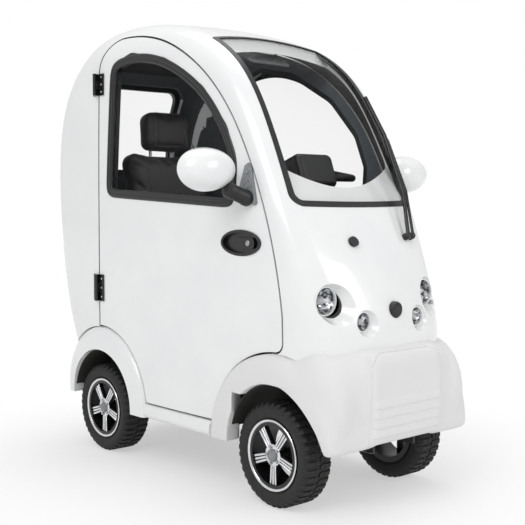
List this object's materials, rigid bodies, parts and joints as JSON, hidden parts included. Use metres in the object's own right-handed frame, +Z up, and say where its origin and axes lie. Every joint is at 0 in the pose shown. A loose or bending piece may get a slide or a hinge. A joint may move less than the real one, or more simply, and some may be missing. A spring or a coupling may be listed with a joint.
{
  "type": "enclosed mobility scooter",
  "caption": "Small enclosed mobility scooter with a rounded white cabin, rear-hinged glazed doors, bent windscreen, padded seat, tiller steering and alloy wheels.",
  "frame": {"origin": "on the ground under the middle of the bounding box", "axes": "+X forward, +Y to the driver's left, +Z up"},
  "size_m": [1.6172, 1.13, 1.6119],
  "materials": {
    "white_panel": "gloss white",
    "clear_glass": "lightly tinted",
    "black_rubber": "matt black",
    "black_plastic": "satin black",
    "dark_liner": "grained dark grey",
    "lamp_lens": "clear lens over chrome",
    "red_lens": "red lens",
    "steel_black": "black powder coat",
    "battery_case": "matt",
    "seat_leather": "charcoal leather cloth",
    "tyre_rubber": "matt tread",
    "alloy": "machined face, black pockets",
    "steel_bright": "zinc plated"
  },
  "bodies": {
    "body": {"cowl": "white_panel", "rear_body": "white_panel", "roof": "white_panel", "front_wings": "white_panel", "rear_wings": "white_panel", "sills": "white_panel", "grille": "white_panel", "windscreen": "clear_glass", "rear_window": "clear_glass", "window_seals": "black_rubber", "lamps": "lamp_lens", "nose_cap": "black_plastic", "washer_nozzle": "black_plastic", "wiper": "black_plastic", "tail_lamps": "red_lens", "body_hinges": "steel_black", "arch_liners": "dark_liner", "chassis_frame": "steel_black", "front_axle": "steel_black", "rear_axle": "steel_black", "floor_pan": "dark_liner", "battery": "battery_case", "seat_base": "black_plastic", "seat_cushion": "seat_leather", "seat_back": "seat_leather", "headrest": "seat_leather", "headrest_posts": "steel_bright", "dash_shelf": "black_plastic"},
    "door_right": {"door_right": "white_panel", "door_glass_right": "clear_glass", "door_seal_right": "black_rubber", "handle_right": "black_plastic", "mirror_right": "white_panel", "door_hinges_right": "steel_black"},
    "door_left": {"door_left": "white_panel", "door_glass_left": "clear_glass", "door_seal_left": "black_rubber", "handle_left": "black_plastic", "mirror_left": "white_panel", "door_hinges_left": "steel_black"},
    "tiller": {"tiller_column": "black_plastic", "tiller_head": "black_plastic", "handlebar": "black_rubber"},
    "drop_arm": {"drop_arm": "steel_bright"},
    "tie_rod": {"tie_rod": "steel_bright"},
    "knuckle_right": {"knuckle_right": "steel_black"},
    "knuckle_left": {"knuckle_left": "steel_black"},
    "wheel_front_right": {"tyre_front_right": "tyre_rubber", "rim_front_right": "alloy"},
    "wheel_front_left": {"tyre_front_left": "tyre_rubber", "rim_front_left": "alloy"},
    "wheel_rear_right": {"tyre_rear_right": "tyre_rubber", "rim_rear_right": "alloy"},
    "wheel_rear_left": {"tyre_rear_left": "tyre_rubber", "rim_rear_left": "alloy"}
  },
  "joints": [
    {"name": "steering", "type": "hinge", "parent": "body", "child": "tiller", "pos_m": [0.582, 0, 0.262], "axis": [-0.3031, 0, 0.9529], "range_deg": [-28, 28]},
    {"name": "drop_arm_turn", "type": "hinge", "parent": "body", "child": "drop_arm", "pos_m": [0.582, 0, 0.2], "axis": [0, 0, 1], "range_deg": [-28, 28]},
    {"name": "kingpin_right", "type": "hinge", "parent": "body", "child": "knuckle_right", "pos_m": [0.512, -0.246, 0.165], "axis": [0, 0, 1], "range_deg": [-28, 28]},
    {"name": "kingpin_left", "type": "hinge", "parent": "body", "child": "knuckle_left", "pos_m": [0.512, 0.246, 0.165], "axis": [0, 0, 1], "range_deg": [-28, 28]},
    {"name": "tie_rod_swing", "type": "hinge", "parent": "knuckle_left", "child": "tie_rod", "pos_m": [0.572, 0.246, 0.14], "axis": [0, 0, 1], "range_deg": [-28, 28]},
    {"name": "door_right_hinge", "type": "hinge", "parent": "body", "child": "door_right", "pos_m": [-0.441, -0.35, 1], "axis": [0, 0, -1], "range_deg": [0, 75]},
    {"name": "door_left_hinge", "type": "hinge", "parent": "body", "child": "door_left", "pos_m": [-0.441, 0.35, 1], "axis": [0, 0, 1], "range_deg": [0, 75]},
    {"name": "wheel_front_right_spin", "type": "hinge", "parent": "knuckle_right", "child": "wheel_front_right", "pos_m": [0.512, -0.264, 0.165], "axis": [0, 1, 0], "continuous": true},
    {"name": "wheel_front_left_spin", "type": "hinge", "parent": "knuckle_left", "child": "wheel_front_left", "pos_m": [0.512, 0.264, 0.165], "axis": [0, 1, 0], "continuous": true},
    {"name": "wheel_rear_right_spin", "type": "hinge", "parent": "body", "child": "wheel_rear_right", "pos_m": [-0.456, -0.264, 0.165], "axis": [0, 1, 0], "continuous": true},
    {"name": "wheel_rear_left_spin", "type": "hinge", "parent": "body", "child": "wheel_rear_left", "pos_m": [-0.456, 0.264, 0.165], "axis": [0, 1, 0], "continuous": true}
  ],
  "couplings": [
    {"joint": "drop_arm_turn", "follows": "steering", "ratio": 1},
    {"joint": "kingpin_right", "follows": "steering", "ratio": 1},
    {"joint": "kingpin_left", "follows": "steering", "ratio": 1},
    {"joint": "tie_rod_swing", "follows": "steering", "ratio": -1}
  ]
}
